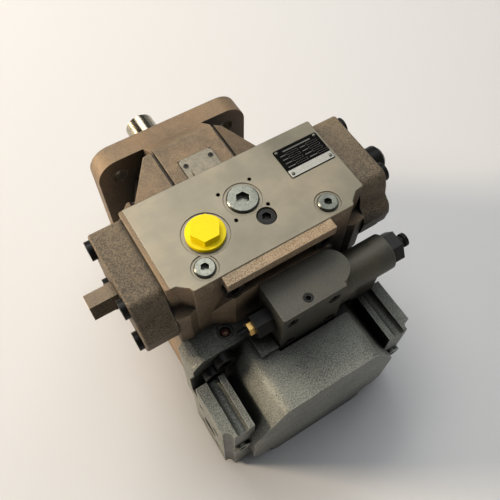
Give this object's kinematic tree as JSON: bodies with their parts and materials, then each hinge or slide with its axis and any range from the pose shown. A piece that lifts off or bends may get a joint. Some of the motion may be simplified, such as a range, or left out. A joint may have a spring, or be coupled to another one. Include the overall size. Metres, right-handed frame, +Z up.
{
  "type": "axial piston pump",
  "caption": "Swashplate axial piston pump with a four-bolt flange, keyed shaft, stroking cylinder block on top, side-ported rear plate and a pressure control valve.",
  "frame": {"origin": "centre of the mounting flange's face, on the shaft axis", "axes": "+Y out along the drive shaft, +Z up towards the ground control face, +X to the right seen from behind the pump"},
  "size_m": [0.2735, 0.357, 0.2303],
  "materials": {
    "cast_iron": "as-cast grey iron, lightly oiled",
    "cover_iron": "as-cast grey iron",
    "valve_iron": "as-cast grey iron, fine grain",
    "black_steel": "black oxide, lightly oiled",
    "adjuster_steel": "phosphated steel",
    "zinc_steel": "zinc plated",
    "ground_steel": "ground steel",
    "turned_steel": "turned and hardened steel",
    "indicator_metal": "matt cast aluminium",
    "label_metal": "printed and anodised plate",
    "bronze": "bearing bronze",
    "brass": "turned brass",
    "yellow_plastic": "moulded polyethylene",
    "seal_rubber": "moulded nitrile"
  },
  "bodies": {
    "root": {"pump_housing": "cast_iron", "port_plate": "cast_iron", "left_end_cover": "cover_iron", "right_end_cover": "cover_iron", "cover_seal_plates": "black_steel", "cap_screws": "black_steel", "port_plate_screws": "black_steel", "pin_access_plug": "zinc_steel", "zinc_socket_plugs": "zinc_steel", "black_socket_plugs": "black_steel", "yellow_port_plug": "yellow_plastic", "name_plate": "label_metal", "indicator_plate": "indicator_metal", "cradle_bearings": "bronze", "bearing_outer_races": "turned_steel", "shaft_seal": "seal_rubber", "valve_plate": "bronze", "adjuster_lock_nuts": "black_steel", "valve_body": "valve_iron", "valve_screws": "black_steel", "valve_spring_housing": "valve_iron", "valve_spring": "turned_steel", "valve_end_plug": "black_steel", "brass_lock_nut": "brass", "valve_stop_stud": "black_steel"},
    "rotor": {"drive_shaft": "turned_steel", "front_bearing_inner": "turned_steel", "ball_guide": "turned_steel", "cylinder_block": "turned_steel", "block_spring": "black_steel"},
    "swash": {"swash_plate": "turned_steel", "swash_indicator": "turned_steel"},
    "retainer": {"retaining_plate": "ground_steel"},
    "roller_sets": {"bearing_rollers": "turned_steel"},
    "stroker": {"stroke_piston": "turned_steel"},
    "slide_block_unit": {"slide_block": "bronze"},
    "stop_pad_unit": {"stroke_stop_pad": "turned_steel"},
    "stop_screw_unit": {"stroke_stop_screw": "adjuster_steel"},
    "spring_seat_unit": {"valve_spring_seat": "turned_steel"},
    "adjuster_unit": {"adjusting_screw": "black_steel"},
    "spool_unit": {"valve_spool": "ground_steel"},
    "slipper_unit_1": {"slipper_1": "bronze"},
    "piston_unit_1": {"piston_1": "turned_steel"},
    "slipper_unit_2": {"slipper_2": "bronze"},
    "piston_unit_2": {"piston_2": "turned_steel"},
    "slipper_unit_3": {"slipper_3": "bronze"},
    "piston_unit_3": {"piston_3": "turned_steel"},
    "slipper_unit_4": {"slipper_4": "bronze"},
    "piston_unit_4": {"piston_4": "turned_steel"},
    "slipper_unit_5": {"slipper_5": "bronze"},
    "piston_unit_5": {"piston_5": "turned_steel"},
    "slipper_unit_6": {"slipper_6": "bronze"},
    "piston_unit_6": {"piston_6": "turned_steel"},
    "slipper_unit_7": {"slipper_7": "bronze"},
    "piston_unit_7": {"piston_7": "turned_steel"},
    "slipper_unit_8": {"slipper_8": "bronze"},
    "piston_unit_8": {"piston_8": "turned_steel"},
    "slipper_unit_9": {"slipper_9": "bronze"},
    "piston_unit_9": {"piston_9": "turned_steel"}
  },
  "joints": [
    {"name": "shaft_spin", "type": "hinge", "parent": "root", "child": "rotor", "pos_m": [0, 0, 0], "axis": [0, 1, 0], "continuous": true},
    {"name": "swash_tilt", "type": "hinge", "parent": "root", "child": "swash", "pos_m": [0, -0.08, 0], "axis": [0, 0, 1], "range_deg": [0, 15]},
    {"name": "retainer_spin", "type": "hinge", "parent": "swash", "child": "retainer", "pos_m": [0, -0.08, 0], "axis": [0, 1, 0], "continuous": true},
    {"name": "roller_sets_spin", "type": "hinge", "parent": "root", "child": "roller_sets", "pos_m": [0, 0, 0], "axis": [0, 1, 0], "continuous": true},
    {"name": "slipper_1_spin", "type": "hinge", "parent": "retainer", "child": "slipper_unit_1", "pos_m": [0, -0.08, 0.0351], "axis": [0, 1, 0], "continuous": true},
    {"name": "piston_1_ball", "type": "hinge", "parent": "slipper_unit_1", "child": "piston_unit_1", "pos_m": [0, -0.08, 0.0351], "axis": [0, 0, 1], "range_deg": [-15, 0]},
    {"name": "slipper_2_spin", "type": "hinge", "parent": "retainer", "child": "slipper_unit_2", "pos_m": [0.02256, -0.08, 0.02689], "axis": [0, 1, 0], "continuous": true},
    {"name": "piston_2_ball", "type": "hinge", "parent": "slipper_unit_2", "child": "piston_unit_2", "pos_m": [0.02256, -0.08, 0.02689], "axis": [0, 0, 1], "range_deg": [-15, 0]},
    {"name": "slipper_3_spin", "type": "hinge", "parent": "retainer", "child": "slipper_unit_3", "pos_m": [0.03457, -0.08, 0.0061], "axis": [0, 1, 0], "continuous": true},
    {"name": "piston_3_ball", "type": "hinge", "parent": "slipper_unit_3", "child": "piston_unit_3", "pos_m": [0.03457, -0.08, 0.0061], "axis": [0, 0, 1], "range_deg": [-15, 0]},
    {"name": "slipper_4_spin", "type": "hinge", "parent": "retainer", "child": "slipper_unit_4", "pos_m": [0.0304, -0.08, -0.01755], "axis": [0, 1, 0], "continuous": true},
    {"name": "piston_4_ball", "type": "hinge", "parent": "slipper_unit_4", "child": "piston_unit_4", "pos_m": [0.0304, -0.08, -0.01755], "axis": [0, 0, 1], "range_deg": [-15, 0]},
    {"name": "slipper_5_spin", "type": "hinge", "parent": "retainer", "child": "slipper_unit_5", "pos_m": [0.012, -0.08, -0.03298], "axis": [0, 1, 0], "continuous": true},
    {"name": "piston_5_ball", "type": "hinge", "parent": "slipper_unit_5", "child": "piston_unit_5", "pos_m": [0.012, -0.08, -0.03298], "axis": [0, 0, 1], "range_deg": [-15, 0]},
    {"name": "slipper_6_spin", "type": "hinge", "parent": "retainer", "child": "slipper_unit_6", "pos_m": [-0.012, -0.08, -0.03298], "axis": [0, 1, 0], "continuous": true},
    {"name": "piston_6_ball", "type": "hinge", "parent": "slipper_unit_6", "child": "piston_unit_6", "pos_m": [-0.012, -0.08, -0.03298], "axis": [0, 0, 1], "range_deg": [-15, 0]},
    {"name": "slipper_7_spin", "type": "hinge", "parent": "retainer", "child": "slipper_unit_7", "pos_m": [-0.0304, -0.08, -0.01755], "axis": [0, 1, 0], "continuous": true},
    {"name": "piston_7_ball", "type": "hinge", "parent": "slipper_unit_7", "child": "piston_unit_7", "pos_m": [-0.0304, -0.08, -0.01755], "axis": [0, 0, 1], "range_deg": [-15, 0]},
    {"name": "slipper_8_spin", "type": "hinge", "parent": "retainer", "child": "slipper_unit_8", "pos_m": [-0.03457, -0.08, 0.0061], "axis": [0, 1, 0], "continuous": true},
    {"name": "piston_8_ball", "type": "hinge", "parent": "slipper_unit_8", "child": "piston_unit_8", "pos_m": [-0.03457, -0.08, 0.0061], "axis": [0, 0, 1], "range_deg": [-15, 0]},
    {"name": "slipper_9_spin", "type": "hinge", "parent": "retainer", "child": "slipper_unit_9", "pos_m": [-0.02256, -0.08, 0.02689], "axis": [0, 1, 0], "continuous": true},
    {"name": "piston_9_ball", "type": "hinge", "parent": "slipper_unit_9", "child": "piston_unit_9", "pos_m": [-0.02256, -0.08, 0.02689], "axis": [0, 0, 1], "range_deg": [-15, 0]},
    {"name": "stroke_slide", "type": "slide", "parent": "root", "child": "stroker", "axis": [1, 0, 0], "range_m": [0, 0.01735]},
    {"name": "slide_block_pivot", "type": "hinge", "parent": "swash", "child": "slide_block_unit", "pos_m": [0, -0.147, 0.095], "axis": [0, 0, 1], "range_deg": [-15, 0]},
    {"name": "stop_pad_slide", "type": "slide", "parent": "root", "child": "stop_pad_unit", "axis": [-1, 0, 0], "range_m": [0, 0.006]},
    {"name": "stop_screw_turn", "type": "hinge", "parent": "stop_pad_unit", "child": "stop_screw_unit", "pos_m": [0, -0.147, 0.095], "axis": [-1, 0, 0], "range_deg": [0, 1440]},
    {"name": "spring_seat_slide", "type": "slide", "parent": "root", "child": "spring_seat_unit", "axis": [1, 0, 0], "range_m": [0, 0.006]},
    {"name": "adjusting_screw_turn", "type": "hinge", "parent": "spring_seat_unit", "child": "adjuster_unit", "pos_m": [0, -0.218, 0.078], "axis": [1, 0, 0], "range_deg": [0, 1440]},
    {"name": "spool_slide", "type": "slide", "parent": "root", "child": "spool_unit", "axis": [1, 0, 0], "range_m": [-0.002, 0]}
  ],
  "couplings": [
    {"joint": "retainer_spin", "follows": "shaft_spin", "ratio": 1},
    {"joint": "roller_sets_spin", "follows": "shaft_spin", "ratio": 0.42},
    {"joint": "slipper_1_spin", "follows": "shaft_spin", "ratio": -1},
    {"joint": "piston_1_ball", "follows": "swash_tilt", "ratio": -1},
    {"joint": "slipper_2_spin", "follows": "shaft_spin", "ratio": -1},
    {"joint": "piston_2_ball", "follows": "swash_tilt", "ratio": -1},
    {"joint": "slipper_3_spin", "follows": "shaft_spin", "ratio": -1},
    {"joint": "piston_3_ball", "follows": "swash_tilt", "ratio": -1},
    {"joint": "slipper_4_spin", "follows": "shaft_spin", "ratio": -1},
    {"joint": "piston_4_ball", "follows": "swash_tilt", "ratio": -1},
    {"joint": "slipper_5_spin", "follows": "shaft_spin", "ratio": -1},
    {"joint": "piston_5_ball", "follows": "swash_tilt", "ratio": -1},
    {"joint": "slipper_6_spin", "follows": "shaft_spin", "ratio": -1},
    {"joint": "piston_6_ball", "follows": "swash_tilt", "ratio": -1},
    {"joint": "slipper_7_spin", "follows": "shaft_spin", "ratio": -1},
    {"joint": "piston_7_ball", "follows": "swash_tilt", "ratio": -1},
    {"joint": "slipper_8_spin", "follows": "shaft_spin", "ratio": -1},
    {"joint": "piston_8_ball", "follows": "swash_tilt", "ratio": -1},
    {"joint": "slipper_9_spin", "follows": "shaft_spin", "ratio": -1},
    {"joint": "piston_9_ball", "follows": "swash_tilt", "ratio": -1},
    {"joint": "stroke_slide", "follows": "swash_tilt", "m_per_rad": 0.066237},
    {"joint": "slide_block_pivot", "follows": "swash_tilt", "ratio": -1},
    {"joint": "stop_screw_turn", "follows": "stop_pad_slide", "rad_per_m": 4188.8},
    {"joint": "adjusting_screw_turn", "follows": "spring_seat_slide", "rad_per_m": 4188.8}
  ]
}
